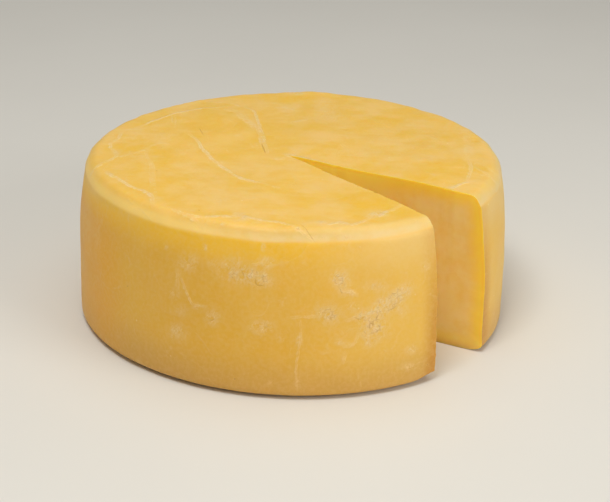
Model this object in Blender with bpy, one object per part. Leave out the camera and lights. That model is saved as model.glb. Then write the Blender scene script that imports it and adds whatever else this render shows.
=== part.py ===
"""A wheel of cheddar standing on its flat base, with one wedge cut out of it.

The wheel is one solid of revolution: a half section is worked out from its named sizes, spun
about the upright axis, made slightly uneven as a pressed cheese is, and then cut open by a
three-sided blade shape whose tip lies just off the axis.

Units are metres, +Z is up, and the origin is the middle of the footprint, on the surface that
the wheel stands on. One cut face runs along -Y, and the other turns from it towards +X.
"""
import math

import bmesh
import bpy
from mathutils import Vector

# Overall size of the wheel.
RADIUS = 0.150
HEIGHT = 0.116

# Half section: the foot has settled outwards, and the side leans in towards the top edge.
FOOT_SPREAD = 0.0033
SIDE_BULGE = 0.0010
SIDE_LEAN = 0.0030
LEAN_POWER = 4.0
TOP_EDGE_RADIUS = 0.0090
FOOT_EDGE_IN = 0.0148
FOOT_EDGE_UP = 0.0055
TOP_CROWN = 0.0012

# Unevenness of the outline: lobes round the wheel, share of the radius, angle of a peak.
OUT_OF_ROUND = (
    (2, 0.0033, -12.7),
    (3, 0.0091, 23.0),
)
# Unevenness of the top: rise, wavelength, direction of travel, phase; less towards the rim.
TOP_WAVES = (
    (0.00070, 0.170, 20.0, 0.6),
    (0.00045, 0.098, 118.0, 2.1),
)
RIM_CALM = 0.7
# Swellings of the rim: angle round the wheel, rise, reach.
RIM_SWELLS = (
    (44.0, 0.0019, 0.022),
)

# The cut: its tip on the top, its opening, the lean of the knife towards +X on its way down,
# and how far the blade shape passes the cheese.
CUT_TIP = (-0.0130, -0.0040)
CUT_ANGLE = 20.5
CUT_LEAN = 1.2
BLADE_OVERRUN = 0.030

# Fineness of the faceted surface.
STEPS_ROUND = 96
STEPS_FLAT = 4
STEPS_SIDE = 9
STEPS_FOOT_EDGE = 5
STEPS_TOP_EDGE = 6
MERGE_DISTANCE = 1e-6

# Colour and finish of the rind.
RIND_COLOUR = (0.863, 0.553, 0.159, 1.0)
RIND_ROUGHNESS = 0.45


def remove_everything():
    """Empty the scene, so that the wheel is its only content."""
    for item in list(bpy.data.objects):
        bpy.data.objects.remove(item, do_unlink=True)


def rind_material():
    """Satin yellow rind."""
    material = bpy.data.materials.new("cheddar_rind")
    material.use_nodes = True
    shader = material.node_tree.nodes["Principled BSDF"]
    shader.inputs["Base Color"].default_value = RIND_COLOUR
    shader.inputs["Roughness"].default_value = RIND_ROUGHNESS
    shader.inputs["Metallic"].default_value = 0.0
    return material


def quarter_round(centre, reach, start, steps):
    """Points of a quarter ellipse about centre, beginning at the angle start."""
    points = []
    for step in range(steps + 1):
        angle = math.radians(start + 90.0 * step / steps)
        points.append((centre[0] + reach[0] * math.cos(angle),
                       centre[1] + reach[1] * math.sin(angle)))
    return points


def straight_steps(start, end, steps):
    """Points that divide a straight line, without its two ends."""
    return [(start[0] + (end[0] - start[0]) * step / steps,
             start[1] + (end[1] - start[1]) * step / steps)
            for step in range(1, steps)]


def side_curve(foot_end, top_start):
    """Points up the side: a slight bulge low down, and a lean that grows towards the top."""
    points = []
    for step in range(1, STEPS_SIDE + 1):
        along = step / STEPS_SIDE
        radius = foot_end[0] + (RADIUS - foot_end[0]) * along
        radius += SIDE_BULGE * math.sin(math.pi * along) - SIDE_LEAN * along ** LEAN_POWER
        points.append((radius, foot_end[1] + (top_start - foot_end[1]) * along))
    return points


def half_section():
    """Radius and height along the half section, from the middle of the base to the top's."""
    foot = quarter_round((RADIUS + FOOT_SPREAD - FOOT_EDGE_IN, FOOT_EDGE_UP),
                         (FOOT_EDGE_IN, FOOT_EDGE_UP), -90.0, STEPS_FOOT_EDGE)
    side = side_curve(foot[-1], HEIGHT - TOP_EDGE_RADIUS)
    top_centre = (0.0, HEIGHT)
    top = quarter_round((RADIUS - SIDE_LEAN - TOP_EDGE_RADIUS, HEIGHT - TOP_EDGE_RADIUS),
                        (TOP_EDGE_RADIUS, TOP_EDGE_RADIUS), 0.0, STEPS_TOP_EDGE)[1:]
    base_centre = (0.0, 0.0)
    base = straight_steps(base_centre, foot[0], STEPS_FLAT)
    crown = straight_steps(top[-1], top_centre, STEPS_FLAT)
    return [base_centre] + base + foot + side + top + crown + [top_centre]


def outline_stretch(angle):
    """How much the wheel's radius differs from a true circle's at an angle round it."""
    stretch = 1.0
    for lobes, share, peak in OUT_OF_ROUND:
        stretch += share * math.cos(lobes * (angle - math.radians(peak)))
    return stretch


def top_lift(x, y):
    """How far the top stands above its nominal height: crown, long waves and rim swellings."""
    reach = min(1.0, math.hypot(x, y) / RADIUS)
    lift = TOP_CROWN * (1.0 - reach ** 2)
    for rise, length, heading, phase in TOP_WAVES:
        travel = x * math.cos(math.radians(heading)) + y * math.sin(math.radians(heading))
        wave = rise * math.sin(math.tau * travel / length + phase)
        lift += wave * (1.0 - RIM_CALM * reach ** 2)
    for angle, rise, spread in RIM_SWELLS:
        away = math.hypot(x - RADIUS * math.cos(math.radians(angle)),
                          y - RADIUS * math.sin(math.radians(angle)))
        lift += rise * math.exp(-(away / spread) ** 2)
    return lift


def uneven(point):
    """Where a point of the true round wheel lies on the settled one; the base stays flat."""
    stretch = outline_stretch(math.atan2(point.y, point.x))
    lift = top_lift(point.x, point.y)
    return Vector((point.x * stretch, point.y * stretch,
                   point.z * (1.0 + lift / HEIGHT)))


def centre_on_footprint(shape):
    """Slide the wheel in plan until the box round it is centred on the origin."""
    for axis in (0, 1):
        places = [vertex.co[axis] for vertex in shape.verts]
        middle = (min(places) + max(places)) / 2.0
        for vertex in shape.verts:
            vertex.co[axis] -= middle


def whole_wheel():
    """The wheel before it is cut: the half section spun once round the upright axis."""
    shape = bmesh.new()
    line = [shape.verts.new((radius, 0.0, height)) for radius, height in half_section()]
    edges = [shape.edges.new(pair) for pair in zip(line, line[1:])]
    bmesh.ops.spin(shape, geom=line + edges, cent=(0.0, 0.0, 0.0), axis=(0.0, 0.0, 1.0),
                   angle=math.tau, steps=STEPS_ROUND, use_duplicate=False)
    bmesh.ops.remove_doubles(shape, verts=shape.verts, dist=MERGE_DISTANCE)
    for vertex in shape.verts:
        vertex.co = uneven(vertex.co)
    centre_on_footprint(shape)
    bmesh.ops.recalc_face_normals(shape, faces=shape.faces)
    mesh = bpy.data.meshes.new("cheese_wheel")
    shape.to_mesh(mesh)
    shape.free()
    mesh.shade_smooth()
    mesh.set_sharp_from_angle(angle=math.radians(35.0))
    mesh.materials.append(rind_material())
    wheel = bpy.data.objects.new("cheese_wheel", mesh)
    bpy.context.collection.objects.link(wheel)
    return wheel


def blade():
    """A three-sided prism, tip just off the axis, in the shape of the wedge that is gone."""
    reach = RADIUS + BLADE_OVERRUN
    low, high = -BLADE_OVERRUN, HEIGHT + BLADE_OVERRUN
    drift = math.tan(math.radians(CUT_LEAN))
    tip = Vector((CUT_TIP[0] + drift * (HEIGHT - low), CUT_TIP[1]))
    corners = (tip, tip + Vector((0.0, -reach)),
               tip + Vector((reach * math.tan(math.radians(CUT_ANGLE)), -reach)))
    shape = bmesh.new()
    bottom = [shape.verts.new((corner.x, corner.y, low)) for corner in corners]
    face = shape.faces.new(bottom)
    grown = bmesh.ops.extrude_face_region(shape, geom=[face])
    risen = [part for part in grown["geom"] if isinstance(part, bmesh.types.BMVert)]
    bmesh.ops.translate(shape, verts=risen, vec=(-drift * (high - low), 0.0, high - low))
    bmesh.ops.recalc_face_normals(shape, faces=shape.faces)
    mesh = bpy.data.meshes.new("wedge_blade")
    shape.to_mesh(mesh)
    shape.free()
    cutter = bpy.data.objects.new("wedge_blade", mesh)
    cutter.display_type = "WIRE"
    cutter.hide_render = True
    bpy.context.collection.objects.link(cutter)
    return cutter


def main():
    remove_everything()
    wheel = whole_wheel()
    cut = wheel.modifiers.new("wedge_cut", "BOOLEAN")
    cut.operation = "DIFFERENCE"
    cut.object = blade()


main()
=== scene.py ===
"""Looks of a cheddar wheel with a wedge cut out: satin rind, dry marks, pale paste.

The wheel is one piece. Its rind is a grid swept round the tip of the cut, and each cut face is
a nearly flat grid that follows the rind's edge. Marks on the rind are drawn as smooth curves
and oval patches in the camera's frame, carried onto the surface, and kept as attributes that
the materials read. Units are metres, +Z is up, and the wheel stands on z = 0.
"""
import math
from functools import reduce

import bmesh
import bpy
import numpy as np
from mathutils import Matrix, Vector


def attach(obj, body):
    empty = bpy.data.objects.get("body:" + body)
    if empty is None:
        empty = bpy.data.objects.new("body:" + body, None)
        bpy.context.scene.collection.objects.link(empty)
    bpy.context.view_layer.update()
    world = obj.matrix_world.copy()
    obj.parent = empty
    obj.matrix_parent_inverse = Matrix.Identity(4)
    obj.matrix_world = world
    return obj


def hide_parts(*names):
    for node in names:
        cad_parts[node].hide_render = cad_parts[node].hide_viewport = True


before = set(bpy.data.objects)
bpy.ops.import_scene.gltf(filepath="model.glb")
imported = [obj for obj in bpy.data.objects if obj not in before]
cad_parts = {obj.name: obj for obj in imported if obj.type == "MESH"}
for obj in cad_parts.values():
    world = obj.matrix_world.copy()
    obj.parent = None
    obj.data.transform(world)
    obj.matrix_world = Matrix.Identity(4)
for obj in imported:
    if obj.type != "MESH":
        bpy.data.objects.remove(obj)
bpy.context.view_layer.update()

MM = 0.001
NODE = "cheese_wheel"

# Overall size and half section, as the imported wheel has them. The outline's lobes are their
# number, share of the radius and first peak in degrees; the top's waves their rise, length,
# heading and phase; the rim's swellings their turn round the wheel, rise and spread.
RADIUS = 0.150
HEIGHT = 0.116
FOOT_SPREAD = 0.0033
SIDE_BULGE = 0.0010
SIDE_LEAN = 0.0030
LEAN_POWER = 4.0
TOP_EDGE_RADIUS = 0.0090
FOOT_EDGE_IN = 0.0148
FOOT_EDGE_UP = 0.0055
TOP_CROWN = 0.0012
OUT_OF_ROUND = ((2, 0.0033, -12.7), (3, 0.0091, 23.0))
TOP_WAVES = ((0.00070, 0.170, 20.0, 0.6), (0.00045, 0.098, 118.0, 2.1))
RIM_CALM = 0.7
RIM_SWELLS = ((44.0, 0.0019, 0.022),)

# The cut: its tip on the top, its opening, and the lean of the knife towards +X going down.
CUT_TIP = (-0.0130, -0.0040)
CUT_ANGLE = 20.5
CUT_LEAN = 1.2

# Fineness of the outline that places the axis, and of the visible surface.
STEPS_OUTLINE = 96
STEPS_ROUND = 560
STEPS_BASE = 9
STEPS_FOOT_EDGE = 9
STEPS_SIDE = 46
STEPS_TOP_EDGE = 12
STEPS_TOP = 62
STEPS_TO_RIM = 9

# Points closer than this become one, edges that turn by more than this angle stay sharp, and
# this keeps a division by no distance finite.
MERGE_DISTANCE = 1e-6
SHARP_ANGLE = 38.0
TINY = 1e-9

# The worn rim: two rubs of its rounded edge, each about a third as deep as its strength. The
# first comes and goes between turns round the wheel; the chamfer is a bell about one turn.
RIM_RUB = 3.4 * MM
RUB_COMES = (182.0, 210.0)
RUB_GOES = (285.0, 305.0)
CHAMFER = 2.86 * MM
CHAMFER_TURN = 178.0
CHAMFER_SPREAD = 24.0

# The slump of the top beside the cut: its depth, the turn where it is deepest, its spread, and
# the distances from the axis and the heights between which it grows.
SLUMP = 1.5 * MM
SLUMP_TURN = 267.0
SLUMP_SPREAD = 24.0
SLUMP_OUT = (0.095, RADIUS - 0.012)
SLUMP_UP = (0.080, HEIGHT - TOP_EDGE_RADIUS)

# Soft unevenness: how many waves are added up, and their lengths in shares of the given size;
# then the depth, size and seed of each sum of waves.
WAVES = 14
WAVE_LENGTHS = (0.7, 1.5)
SIDE_UNEVEN = ((0.25 * MM, 60.0 * MM, 21),)
RIND_UNEVEN = ((0.12 * MM, 22.0 * MM, 22),)
RIM_UNEVEN = ((0.18 * MM, 13.0 * MM, 23),)
PASTE_UNEVEN = ((0.10 * MM, 18.0 * MM, 31), (0.06 * MM, 7.0 * MM, 32))
CUT_RAGGED = ((0.22 * MM, 9.0 * MM, 41), (0.154 * MM, 3.5 * MM, 42))

# Where the unevenness comes in: above the foot, up and out towards the rim, down from the
# paste's edge, out from the cut's tip, and for the ragged edges also along the rind.
FOOT_CALM = 8.0 * MM
RIM_UNEVEN_UP = (0.100, 0.110)
RIM_UNEVEN_OUT = (0.120, 0.140)
PASTE_CALM = 4.0 * MM
PASTE_FROM_TIP = (2.4 * MM, 14.4 * MM)
RAGGED_FROM_TIP = (6.0 * MM, 20.0 * MM)
RAGGED_UP = (2.0 * MM, 8.0 * MM)
RAGGED_REACH = 3.0 * MM

# The foot's corner beside the near cut edge: its lift, how far that reaches along the rind and
# up the side, and the distance from the axis where it begins.
FOOT_CORNER = 3.0 * MM
FOOT_CORNER_REACH = 18.0 * MM
FOOT_CORNER_HEIGHT = 14.0 * MM
FOOT_CORNER_OUT = 0.85 * RADIUS

# The camera: its frame's width and height in points, turn round the wheel, rise above the
# level, roll, distance, lens, and the point it looks at, beside and below the wheel's middle.
FRAME_SIZE = (610, 502)
VIEW_TURN = -42.2
VIEW_RISE = 23.52
VIEW_ROLL = 1.13
VIEW_DISTANCE = 1.05
LENS = 85.3
SENSOR = 36.0
VIEW_MIDDLE = (0.0, 0.0, 0.0569)
VIEW_SHIFT = (0.0063, -0.0161)

# Distances from the camera at which a sight line is tried: first, last and how many; and how
# far above the top's edge the section closes.
SIGHT_RUN = (0.80, 1.30, 2001)
LID = 0.5 * MM


# ---------------------------------------------------------------- shape of the wheel

def part_way(value, low, high):
    """Share of the way from low to high, kept between 0 and 1."""
    return np.clip((value - low) / (high - low), 0.0, 1.0)


def ramp(value, low, high):
    """Smooth step from 0 at low to 1 at high: three squares less two cubes of the share."""
    way = part_way(value, low, high)
    return way * way * (3.0 - 2.0 * way)


def outline_stretch(angle):
    """Radius at an angle over a true circle's: one plus a cosine for each set of lobes."""
    stretch = 1.0
    for lobes, share, peak in OUT_OF_ROUND:
        stretch = stretch + share * np.cos(lobes * (angle - math.radians(peak)))
    return stretch


def wheel_axis():
    """Place of the wheel's axis: minus the middle of the box round its uneven outline."""
    angle = np.linspace(0.0, math.tau, STEPS_OUTLINE + 1)
    radius = (RADIUS + FOOT_SPREAD) * outline_stretch(angle)
    across, along = radius * np.cos(angle), radius * np.sin(angle)
    return (-(across.min() + across.max()) / 2.0, -(along.min() + along.max()) / 2.0)


AXIS = wheel_axis()


def from_axis(x, y):
    """Turn round the wheel's axis, in degrees from 0 to 360, and level distance from it."""
    across, along = x - AXIS[0], y - AXIS[1]
    return np.degrees(np.arctan2(along, across)) % 360.0, np.hypot(across, along)


def top_lift(x, y):
    """Rise of the top over its nominal height at x, y from the axis of the true round wheel.

    A crown that falls with the square of the distance, two long sine waves that calm towards
    the rim, and a bell-shaped swelling at the rim.
    """
    reach = np.minimum(1.0, np.hypot(x, y) / RADIUS)
    lift = TOP_CROWN * (1.0 - reach ** 2)
    for rise, length, heading, phase in TOP_WAVES:
        travel = x * math.cos(math.radians(heading)) + y * math.sin(math.radians(heading))
        wave = rise * np.sin(math.tau * travel / length + phase)
        lift = lift + wave * (1.0 - RIM_CALM * reach ** 2)
    for angle, rise, spread in RIM_SWELLS:
        away = np.hypot(x - RADIUS * math.cos(math.radians(angle)),
                        y - RADIUS * math.sin(math.radians(angle)))
        lift = lift + rise * np.exp(-(away / spread) ** 2)
    return lift


def as_if_round(x, y):
    """Place from the axis, over the outline's stretch there."""
    across, along = x - AXIS[0], y - AXIS[1]
    stretch = outline_stretch(np.arctan2(along, across))
    return across / stretch, along / stretch


def lifted(x, y, height):
    """Height of a point of the settled wheel: its nominal height stretched by the top's rise."""
    return height * (1.0 + top_lift(*as_if_round(x, y)) / HEIGHT)


def quarter_round(centre, reach, start, steps):
    """Quarter of an ellipse: centre plus reach times the cosine and sine of equal angles."""
    angle = np.radians(start + 90.0 * np.linspace(0.0, 1.0, steps + 1))
    return centre[0] + reach[0] * np.cos(angle), centre[1] + reach[1] * np.sin(angle)


def rim_section():
    """Radius and height up the rim: quarter ellipse, leaning side, quarter circle.

    The side runs straight from foot to shoulder, plus a half sine of bulge, less a lean that
    grows with the fourth power of the way up.
    """
    foot_r, foot_z = quarter_round((RADIUS + FOOT_SPREAD - FOOT_EDGE_IN, FOOT_EDGE_UP),
                                   (FOOT_EDGE_IN, FOOT_EDGE_UP), -90.0, STEPS_FOOT_EDGE)
    along = np.linspace(0.0, 1.0, STEPS_SIDE + 1)[1:]
    side_r = foot_r[-1] + (RADIUS - foot_r[-1]) * along
    side_r = side_r + SIDE_BULGE * np.sin(math.pi * along) - SIDE_LEAN * along ** LEAN_POWER
    side_z = foot_z[-1] + (HEIGHT - TOP_EDGE_RADIUS - foot_z[-1]) * along
    top_r, top_z = quarter_round((RADIUS - SIDE_LEAN - TOP_EDGE_RADIUS,
                                  HEIGHT - TOP_EDGE_RADIUS),
                                 (TOP_EDGE_RADIUS, TOP_EDGE_RADIUS), 0.0, STEPS_TOP_EDGE)
    return (np.concatenate([foot_r, side_r, top_r[1:]]),
            np.concatenate([foot_z, side_z, top_z[1:]]))


def cut_tip(height):
    """Tip of the cut at a height: it drifts towards +X on the way down, as the knife leans."""
    drift = math.tan(math.radians(CUT_LEAN))
    return CUT_TIP[0] + drift * (HEIGHT - height), CUT_TIP[1] + 0.0 * height


def reach_rim(turn, radius, height):
    """Where a level ray from the cut's tip meets the uneven outline of a given radius.

    The ray meets a circle about the axis at minus b plus the root of b squared minus c. The
    circle's radius is then corrected for the lobes at the place that was met, four times.
    """
    tip_x, tip_y = cut_tip(height)
    way_x, way_y = np.sin(turn), -np.cos(turn)
    from_x, from_y = tip_x - AXIS[0], tip_y - AXIS[1]
    b = from_x * way_x + from_y * way_y
    outline = radius
    for _ in range(4):
        c = from_x ** 2 + from_y ** 2 - outline ** 2
        run = -b + np.sqrt(b * b - c)
        angle = np.arctan2(from_y + run * way_y, from_x + run * way_x)
        outline = radius * outline_stretch(angle)
    return tip_x + run * way_x, tip_y + run * way_y


def rind_grid():
    """Rind as a grid of rows (base, rim, top) by turns about the cut's tip.

    Base and top rows lie at equal shares of the way between the tip and the rim's first and
    last rows, and the rim's rows follow the section. Returns x, y, height and the section's
    outward direction as in-plan and upward parts.
    """
    turn = np.radians(np.linspace(CUT_ANGLE, 360.0, STEPS_ROUND + 1))[None, :]
    radius, height = rim_section()
    height = height[:, None]
    rim_x, rim_y = reach_rim(turn, radius[:, None], height)
    rim_z = height + 0.0 * rim_x
    base_share = np.linspace(0.0, 1.0, STEPS_BASE + 1)[:-1, None]
    top_share = np.linspace(1.0, 0.0, STEPS_TOP + 1)[1:, None]
    base_tip, top_tip = cut_tip(0.0), cut_tip(HEIGHT)
    base_x = base_tip[0] + base_share * (rim_x[:1] - base_tip[0])
    base_y = base_tip[1] + base_share * (rim_y[:1] - base_tip[1])
    top_x = top_tip[0] + top_share * (rim_x[-1:] - top_tip[0])
    top_y = top_tip[1] + top_share * (rim_y[-1:] - top_tip[1])
    x = np.concatenate([base_x, rim_x, top_x])
    y = np.concatenate([base_y, rim_y, top_y])
    z = np.concatenate([0.0 * base_x, rim_z, HEIGHT + 0.0 * top_x])
    slope_r, slope_z = np.gradient(radius), np.gradient(height[:, 0])
    length = np.hypot(slope_r, slope_z)
    out = np.concatenate([np.zeros(STEPS_BASE), slope_z / length, np.zeros(STEPS_TOP)])
    up = np.concatenate([-np.ones(STEPS_BASE), -slope_r / length, np.ones(STEPS_TOP)])
    out, up = out[:, None], up[:, None]
    return *worn(x, y, lifted(x, y, z), out, up), out, up


def slump(x, y):
    """Sinking of the top: a bell round the wheel about the cut, growing out to the rim."""
    turn, out = from_axis(x, y)
    bell = np.exp(-((turn - SLUMP_TURN) / SLUMP_SPREAD) ** 2)
    return SLUMP * bell * ramp(out, *SLUMP_OUT)


def worn(x, y, z, out, up):
    """The rim as worn: the slump lowers it, and the rounded edge is rubbed in along its normal.

    The rub is the sine times the cubed cosine of the edge's tilt, plus for the chamfer the sine
    times the squared cosine. Both leave a crisp line below and none above.
    """
    turn, away = from_axis(x, y)
    away = away + TINY
    tilt = np.arctan2(np.maximum(up, 0.0), out)
    window = ramp(turn, *RUB_COMES) * (1.0 - ramp(turn, *RUB_GOES))
    bell = np.exp(-((turn - CHAMFER_TURN) / CHAMFER_SPREAD) ** 2)
    rub = RIM_RUB * np.sin(tilt) * np.cos(tilt) ** 3 * window
    rub = rub + CHAMFER * np.sin(tilt) * np.cos(tilt) ** 2 * bell
    rub = rub * (np.arange(len(z)) >= len(z) - STEPS_TOP - STEPS_TOP_EDGE)[:, None]
    x = x - (x - AXIS[0]) / away * out * rub
    y = y - (y - AXIS[1]) / away * out * rub
    z = z - up * rub - slump(x, y) * ramp(z, *SLUMP_UP)
    return x, y, z


def soft_noise(points, size, seed):
    """Smooth unevenness of about unit height: the mean of plane waves of random direction,
    each with a wavelength near the given size, times the root of their number."""
    draw = np.random.default_rng(seed)
    total = 0.0
    for _ in range(WAVES):
        way = draw.normal(size=3)
        way = way / np.linalg.norm(way)
        length = size * draw.uniform(*WAVE_LENGTHS)
        total = total + np.sin(math.tau * (points @ way) / length + draw.uniform(0.0, math.tau))
    return total / math.sqrt(WAVES)


def unevenness(points, sums):
    """Soft noises added up, each of its own depth, size and seed."""
    return sum(depth * soft_noise(points, size, seed) for depth, size, seed in sums)


# ---------------------------------------------------------------- the camera's frame

def view_axes():
    """Right, up and back directions of the camera, from its turn, rise and roll."""
    turn, rise, roll = (math.radians(a) for a in (VIEW_TURN, VIEW_RISE, VIEW_ROLL))
    back = Vector((math.sin(turn) * math.cos(rise), -math.cos(turn) * math.cos(rise),
                   math.sin(rise)))
    level = Vector((math.cos(turn), math.sin(turn), 0.0))
    rising = back.cross(level)
    right = level * math.cos(roll) + rising * math.sin(roll)
    up = rising * math.cos(roll) - level * math.sin(roll)
    return right, up, back


VIEW_RIGHT, VIEW_UP, VIEW_BACK = view_axes()
VIEW_PLACE = (Vector(VIEW_MIDDLE) + VIEW_RIGHT * VIEW_SHIFT[0] + VIEW_UP * VIEW_SHIFT[1]
              + VIEW_BACK * VIEW_DISTANCE)
FOCAL_POINTS = LENS / SENSOR * FRAME_SIZE[0]


def sight_lines(marks):
    """Directions from the camera through marks given in points of its frame."""
    marks = np.asarray(marks, dtype=float)
    across = (marks[:, :1] + 0.5 - FRAME_SIZE[0] / 2.0) / FOCAL_POINTS
    upward = (FRAME_SIZE[1] / 2.0 - marks[:, 1:2] - 0.5) / FOCAL_POINTS
    return (across * np.array(VIEW_RIGHT) + upward * np.array(VIEW_UP)
            - np.array(VIEW_BACK))


def on_wheel(marks):
    """Marks carried along their sight lines to the first place inside the wheel's shape.

    A place is inside where its distance from the axis, over the outline's stretch, is less
    than the section's radius at its height. A lid closes the section just above the top. A
    line that misses takes its nearest place.
    """
    section_r, section_z = rim_section()
    section_r = np.concatenate([section_r, [-RADIUS]])
    section_z = np.concatenate([section_z, [HEIGHT + LID]])
    lines = sight_lines(marks)
    run = np.linspace(*SIGHT_RUN)[None, :]
    x, y, z = (VIEW_PLACE[axis] + lines[:, axis:axis + 1] * run for axis in range(3))
    round_place = as_if_round(x, y)
    nominal = z + slump(x, y) * ramp(z, *SLUMP_UP)
    nominal = nominal / (1.0 + top_lift(*round_place) / HEIGHT)
    outside = np.hypot(*round_place) - np.interp(nominal, section_z, section_r)
    inside = outside < 0.0
    first = np.where(inside.any(axis=1), inside.argmax(axis=1), outside.argmin(axis=1))
    pick = (np.arange(len(lines)), first)
    return np.stack([x[pick], y[pick], z[pick]], axis=-1)


def on_flank(turn, height):
    """Places on the side at a turn round the wheel and a height."""
    section_r, section_z = rim_section()
    radius = np.interp(height, section_z, section_r) * outline_stretch(turn)
    return np.stack([AXIS[0] + radius * np.cos(turn), AXIS[1] + radius * np.sin(turn),
                     height + 0.0 * turn], axis=-1)


# ---------------------------------------------------------------- marks on the rind

# Creases: layer, strength, half width in millimetres, and points of the camera's frame.
# Creases that meet are on different layers, and the last layer holds the dark hairlines.
CREASES = (
    # the long curl on the top, and the arc along the back
    (0, 1.00, 1.1, ((190, 134), (198, 141), (201, 147), (206, 152), (211, 158), (218, 164),
                    (226, 169), (236, 176), (248, 180), (262, 183), (278, 187))),
    (1, 0.95, 0.9, ((137, 127), (143, 125), (151, 121), (163, 117), (171, 114), (180, 112),
                    (189, 110), (202, 108), (216, 107), (227, 106))),
    (2, 0.50, 1.0, ((123, 130), (130, 129), (138, 129), (147, 127))),
    (2, 0.40, 0.9, ((204, 101), (217, 102), (230, 103), (238, 105), (248, 108))),
    (0, 0.90, 0.9, ((244, 106), (253, 111), (257, 120), (260, 128), (263, 138), (265, 145),
                    (267, 153))),
    (1, 0.60, 0.8, ((254, 122), (258, 131), (260, 140), (262, 147))),
    (2, 0.60, 2.8, ((226, 108), (235, 111), (242, 116), (250, 123), (257, 128))),
    # the web at the left
    (0, 0.80, 1.1, ((121, 132), (117, 139), (111, 143), (111, 148), (117, 153))),
    (1, 0.65, 1.3, ((117, 152), (114, 157), (107, 161), (99, 165), (91, 171), (88, 176))),
    (2, 0.60, 1.1, ((118, 157), (126, 155), (138, 151), (146, 149))),
    (1, 0.30, 1.2, ((146, 148), (152, 145), (160, 143), (170, 143))),
    (1, 0.95, 1.2, ((106, 172), (109, 174), (116, 178), (125, 183), (135, 188), (142, 190),
                    (149, 194), (152, 200), (153, 205))),
    (0, 0.35, 0.9, ((145, 150), (147, 157), (150, 165), (151, 178), (152, 186))),
    (2, 0.40, 0.7, ((151, 160), (153, 169), (154, 183), (156, 208))),
    (0, 0.35, 0.5, ((171, 115), (172, 123))),
    (2, 0.35, 0.5, ((175, 113), (175, 128))),
    # the front of the top
    (0, 0.55, 0.9, ((168, 207), (177, 211), (186, 214), (192, 218), (198, 223))),
    (1, 0.85, 1.1, ((184, 214), (196, 216), (215, 216), (241, 216), (256, 219), (270, 221),
                    (280, 222), (290, 225), (298, 228))),
    (2, 0.55, 1.0, ((233, 212), (240, 215), (247, 220))),
    (2, 0.50, 0.8, ((298, 228), (305, 234), (312, 239))),
    (0, 0.85, 1.0, ((309, 222), (321, 222), (328, 224), (341, 222), (350, 224), (360, 222),
                    (369, 217), (375, 212))),
    (1, 0.95, 1.2, ((366, 217), (372, 213), (379, 216), (383, 214), (390, 210), (401, 206))),
    # the right of the top, and the cut's tip
    (0, 0.35, 4.0, ((464, 129), (467, 140), (468, 150), (468, 160))),
    (2, 0.55, 1.0, ((468, 160), (470, 166), (470, 172), (468, 177), (468, 182))),
    (1, 0.95, 1.0, ((470, 181), (464, 183), (458, 185), (453, 187), (447, 187))),
    (0, 0.40, 0.9, ((474, 166), (478, 169), (486, 173), (492, 179), (498, 184))),
    (1, 0.35, 0.9, ((473, 172), (484, 175), (492, 178))),
    (2, 0.30, 0.9, ((474, 161), (486, 166), (494, 173))),
    (0, 0.30, 0.8, ((471, 139), (478, 140), (486, 144))),
    (2, 0.35, 1.4, ((270, 158), (278, 158), (287, 156))),
    (1, 1.00, 1.3, ((285, 154), (292, 155), (300, 157), (314, 161), (332, 165))),
    (0, 0.35, 1.4, ((274, 108), (284, 107), (294, 110))),
    (0, 0.35, 1.6, ((292, 122), (300, 120), (308, 119))),
    (1, 1.00, 0.9, ((287, 92), (296, 91), (307, 91))),
    # the side
    (0, 0.50, 0.7, ((179, 272), (183, 284), (188, 296), (193, 304), (204, 306))),
    (1, 0.35, 1.0, ((177, 271), (177, 292))),
    (0, 0.36, 0.6, ((299, 318), (300, 330), (299, 344), (296, 362), (296, 390))),
    (1, 0.35, 0.8, ((288, 317), (302, 316), (318, 316))),
    (0, 0.65, 1.0, ((338, 288), (347, 291), (355, 294))),
    (0, 0.45, 0.8, ((345, 320), (359, 316), (372, 312), (387, 303), (398, 294), (410, 286))),
    (1, 0.35, 0.7, ((366, 320), (368, 331), (367, 343))),
    (1, 0.70, 0.8, ((251, 264), (257, 263), (264, 264))),
    (2, 0.32, 0.8, ((337, 342), (343, 345), (350, 345), (355, 341), (357, 334))),
    (1, 0.55, 0.9, ((342, 361), (344, 356))),
    (2, 0.50, 0.7, ((238, 252), (239, 262), (236, 270))),
    # dark hairlines
    (3, 0.75, 0.5, ((199, 128), (203, 134))),
    (3, 0.80, 0.5, ((261, 143), (263, 148), (265, 152))),
    (3, 0.60, 0.5, ((388, 310), (393, 308), (396, 305))),
    (3, 0.60, 0.5, ((354, 317), (359, 319), (363, 317))),
    (3, 0.55, 0.5, ((339, 288), (341, 292))),
    (3, 0.60, 0.5, ((255, 278), (256, 284), (264, 285))),
    (3, 0.45, 0.5, ((241, 270), (244, 276))),
    (3, 0.60, 0.6, ((210, 320), (214, 319))),
    (3, 0.45, 0.5, ((264, 327), (268, 326))),
    (3, 0.45, 0.5, ((300, 224), (306, 229), (313, 240))),
)
CREASE_LAYERS = 4
HAIRLINES = 3

# A crease's reach, the height and half width of its ridge, and how it fades: with the way from
# its nearer end as a share of its length, past its end, and to its side. On the paste the
# offset from every crease is FAR half widths.
CREASE_SEEN = 6.0 * MM
CREASE_RISE = 0.20 * MM
CREASE_RISE_WIDTH = 1.6 * MM
CREASE_ENDS = (-0.05, 0.15)
CREASE_PAST = (2.25 * MM, 0.75 * MM)
CREASE_SIDES = (4.8 * MM, 1.8 * MM)
FAR = 9.0

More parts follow.
